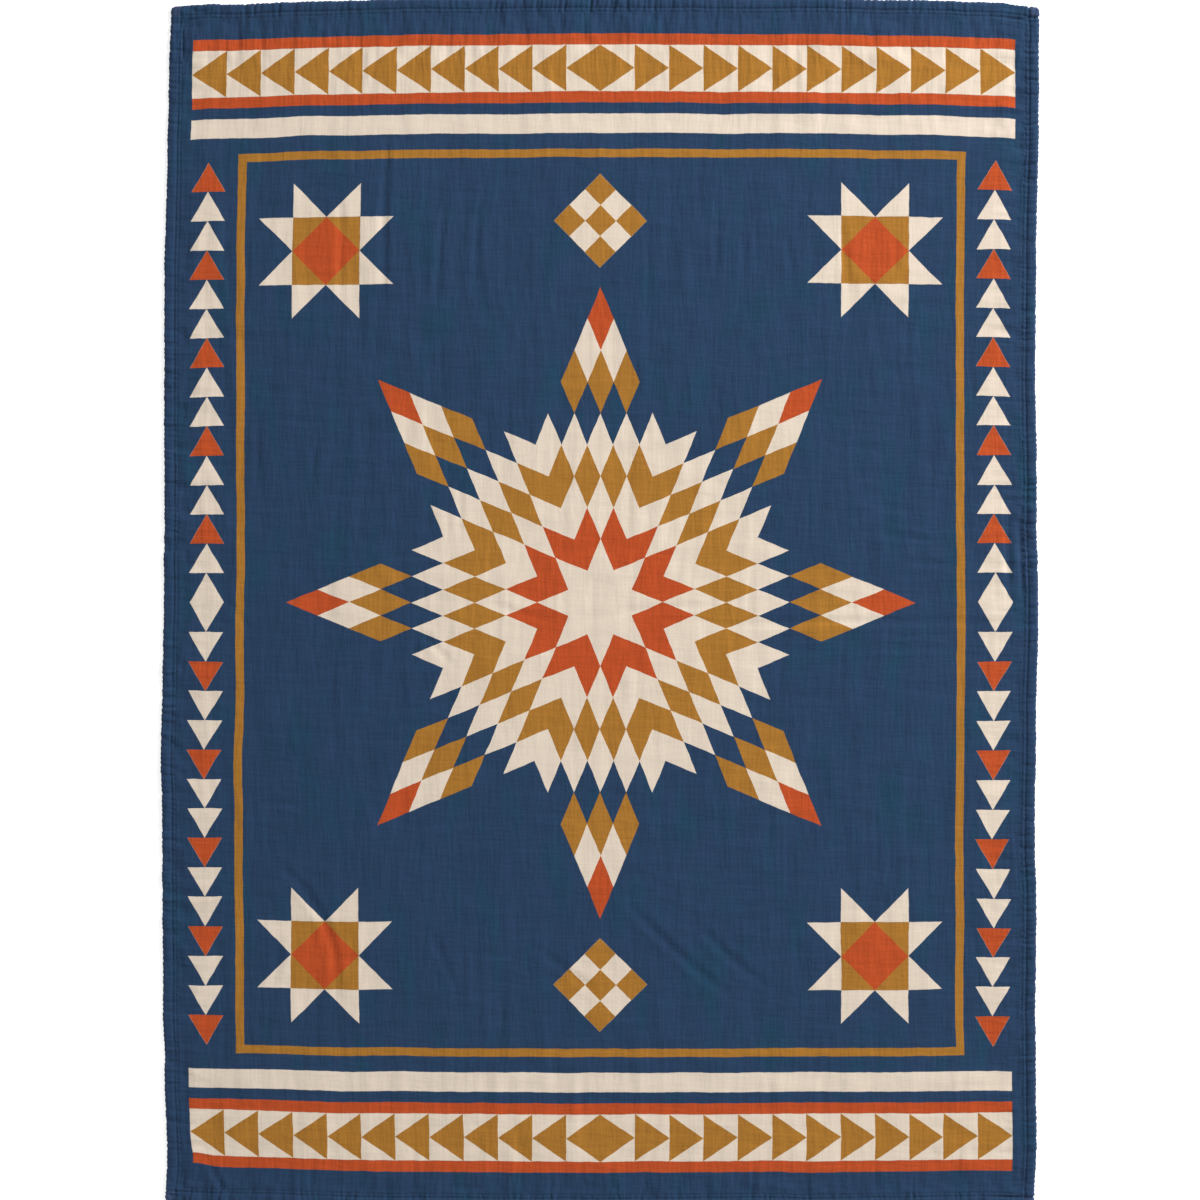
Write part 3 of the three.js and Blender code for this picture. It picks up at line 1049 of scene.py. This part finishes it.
def paleness(tree, colour):
    """How pale the print is: 0 for black, and 1 for cream or lighter."""
    grey = tree.nodes.new("ShaderNodeRGBToBW")
    tree.links.new(colour, grey.inputs[0])
    return (Wire(tree, grey.outputs[0]) / CREAM_BRIGHTNESS).math("MINIMUM", 1)


def hem_wear_and_highlight(tree, x, y):
    """How far the hem is lightened on its fold and corner squares, by wear and by painted highlight.
    """
    across = WIDTH / 2 - abs(x)
    along = LENGTH / 2 - abs(y)
    fold = near(lowest(across, along), FOLD_LIGHTENING_WIDTH)
    square = inside((OUTER_LINE.inset - highest(across, along)) / CORNER_LIGHTENING_SOFTNESS)
    patches = streaks(tree, x, y, WEAR_AND_HIGHLIGHT_PATCHES) + LIGHTENING_SHARE
    return lowest(fold * FOLD_WEAR_AND_HIGHLIGHT + square * CORNER_WEAR_AND_HIGHLIGHT, 1) * patches


def gauze_material(name, printed, worn_and_highlit=False):
    """Soft matt gauze, dyed navy, with the print on it where printed is true."""
    material = bpy.data.materials.new(name)
    material.use_nodes = True
    tree = material.node_tree
    shader = tree.nodes["Principled BSDF"]
    place = tree.nodes.new("ShaderNodeUVMap")
    place.uv_map = "Cut"
    split = tree.nodes.new("ShaderNodeSeparateXYZ")
    tree.links.new(place.outputs[0], split.inputs[0])
    x = Wire(tree, split.outputs[0]) * (1 / MM)
    y = Wire(tree, split.outputs[1]) * (1 / MM)

    hue = streaks(tree, x, y, HUE_PATCHES)
    colour = mix_colours(hue.math("ADD", PLAIN_SHARE, clamp=True), NAVY_PURPLE, NAVY)
    colour = mix_colours((hue * -1).math("ADD", TEAL_SHARE, clamp=True), colour, NAVY_TEAL)
    # Lightens the hem's fold and corner squares: partly wear, partly painted highlight on these
    # raised parts
    if worn_and_highlit:
        colour = mix_colours(hem_wear_and_highlight(tree, x, y), colour, NAVY_WORN_AND_HIGHLIT)
    if printed:
        ragged_x = abs(x + streaks(tree, x, y, RAGGED_X))
        ragged_y = abs(y + streaks(tree, x + RAGGED_SHIFT, y, RAGGED_Y))
        colour = print_ends(colour, ragged_x, ragged_y)
        colour = print_frame(colour, ragged_x, ragged_y)
        colour = print_sides(colour, ragged_x, ragged_y)
        colour = print_star(colour, ragged_x, ragged_y)
        colour = print_block(colour, ragged_x, ragged_y)
        colour = print_nine_patch(colour, ragged_x, ragged_y)

    pale = paleness(tree, colour)
    # Streaks of uneven dye and of painted crinkle shade darken and lighten the colour, less on pale
    # cloth
    dye_and_painted_shade = sum(streaks(tree, x, y, streak) for streak in YARN_TINTS + DYE_AND_PAINTED_SHADE_STREAKS)
    shade = dye_and_painted_shade * (1 - pale * PALE_EVENNESS) + 1
    tint = tree.nodes.new("ShaderNodeHueSaturation")
    tree.links.new(shade.socket, tint.inputs["Value"])
    tree.links.new(colour, tint.inputs["Color"])
    tree.links.new(tint.outputs[0], shader.inputs["Base Color"])

    bump = tree.nodes.new("ShaderNodeBump")
    bump.inputs["Distance"].default_value = 1
    tree.links.new((1 - pale * PALE_SOFTNESS).socket, bump.inputs["Strength"])
    tree.links.new(gauze_relief(tree, x, y).socket, bump.inputs["Height"])
    tree.links.new(bump.outputs[0], shader.inputs["Normal"])
    shader.inputs["Roughness"].default_value = 0.9
    shader.inputs["Specular IOR Level"].default_value = 0.15
    shader.inputs["Sheen Weight"].default_value = 0.1
    shader.inputs["Sheen Roughness"].default_value = 0.5
    return material


TWIST_PITCH = 0.7
PLY_HEIGHT = 0.08


def thread_material():
    """Twisted cotton thread with its plies slanting across it, and painted shade in the grooves
    between them, which makes it a little darker than the cloth.
    """
    material = bpy.data.materials.new("thread")
    material.use_nodes = True
    tree = material.node_tree
    shader = tree.nodes["Principled BSDF"]
    place = tree.nodes.new("ShaderNodeTexCoord")
    split = tree.nodes.new("ShaderNodeSeparateXYZ")
    tree.links.new(place.outputs["Object"], split.inputs[0])
    x, y, z = (Wire(tree, socket) * (1 / MM) for socket in split.outputs)
    plies = ((x + y + z) * (2 * math.pi / TWIST_PITCH)).math("SINE") * 0.5 + 0.5
    # The grooves between plies are painted darker, as shade, where the bump sinks them
    tree.links.new(mix_colours(plies, THREAD_PLY_SHADE, THREAD), shader.inputs["Base Color"])
    bump = tree.nodes.new("ShaderNodeBump")
    bump.inputs["Distance"].default_value = 1
    tree.links.new((plies * (PLY_HEIGHT * MM)).socket, bump.inputs["Height"])
    tree.links.new(bump.outputs[0], shader.inputs["Normal"])
    shader.inputs["Roughness"].default_value = 0.7
    shader.inputs["Specular IOR Level"].default_value = 0.3
    return material


# The studio, in metres. The floor lies a little below the cloth, so that their faces don't meet.
FLOOR_SIZE = 60
FLOOR_DROP = 0.0004
CAMERA_LENS = 85
CAMERA_SENSOR = 36
VIEW_WIDTH = 1.7477
VIEW_X = 0.0001
VIEW_Y = 0.0046


def make_floor():
    half = FLOOR_SIZE / 2
    mesh = bpy.data.meshes.new("floor")
    corners = [(-half, -half), (half, -half), (half, half), (-half, half)]
    mesh.from_pydata([(x, y, -FLOOR_DROP) for x, y in corners], [], [(0, 1, 2, 3)])
    material = bpy.data.materials.new("pale_floor")
    material.use_nodes = True
    shader = material.node_tree.nodes["Principled BSDF"]
    shader.inputs["Base Color"].default_value = (0.93, 0.93, 0.93, 1)
    shader.inputs["Roughness"].default_value = 0.9
    shader.inputs["Specular IOR Level"].default_value = 0.0
    shader.inputs["Emission Color"].default_value = (1, 1, 1, 1)
    shader.inputs["Emission Strength"].default_value = 0.52
    mesh.materials.append(material)
    floor = bpy.data.objects.new("floor", mesh)
    bpy.context.scene.collection.objects.link(floor)
    return floor


def add_light(name, place, target, size, power):
    """A square soft light that shines towards a target."""
    light = bpy.data.lights.new(name, "AREA")
    light.shape = "SQUARE"
    light.size = size
    light.energy = power
    lamp = bpy.data.objects.new(name, light)
    lamp.location = place
    away = np.array(place) - np.array(target)
    tilt = math.atan2(math.hypot(away[0], away[1]), away[2])
    lamp.rotation_euler = (tilt, 0, math.atan2(away[1], away[0]) + math.pi / 2)
    bpy.context.scene.collection.objects.link(lamp)


def make_studio():
    """A key light from the upper right, a weak fill from the lower left and an even sky."""
    add_light("key", place=(5.2, 3.6, 3.05), target=(0.1, 0.1, 0), size=2.2, power=705)
    add_light("fill", place=(-1.2, -2.6, 3.4), target=(0, 0, 0), size=2.5, power=20)
    world = bpy.data.worlds.new("sky")
    world.use_nodes = True
    world.node_tree.nodes["Background"].inputs["Color"].default_value = (1, 1, 1, 1)
    world.node_tree.nodes["Background"].inputs["Strength"].default_value = 0.4
    bpy.context.scene.world = world
    bpy.context.scene.view_settings.view_transform = "Standard"


def make_camera():
    """Straight above the sheet, as far off as gives the photograph's framing."""
    camera = bpy.data.cameras.new("camera")
    camera.lens = CAMERA_LENS
    camera.sensor_width = CAMERA_SENSOR
    eye = bpy.data.objects.new("camera", camera)
    distance = VIEW_WIDTH * CAMERA_LENS / CAMERA_SENSOR
    eye.location = (VIEW_X, VIEW_Y, distance + CLOTH_THICK * MM)
    bpy.context.scene.collection.objects.link(eye)
    bpy.context.scene.camera = eye


plain_gauze = gauze_material("plain_gauze", False)
cloth = make_field([gauze_material("printed_gauze", True), plain_gauze])
hem = make_hem([gauze_material("hem_gauze", False, worn_and_highlit=True), plain_gauze])
stitches = make_stitches(thread_material())
floor = make_floor()
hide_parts("blanket")
make_studio()
make_camera()

bpy.context.view_layer.update()
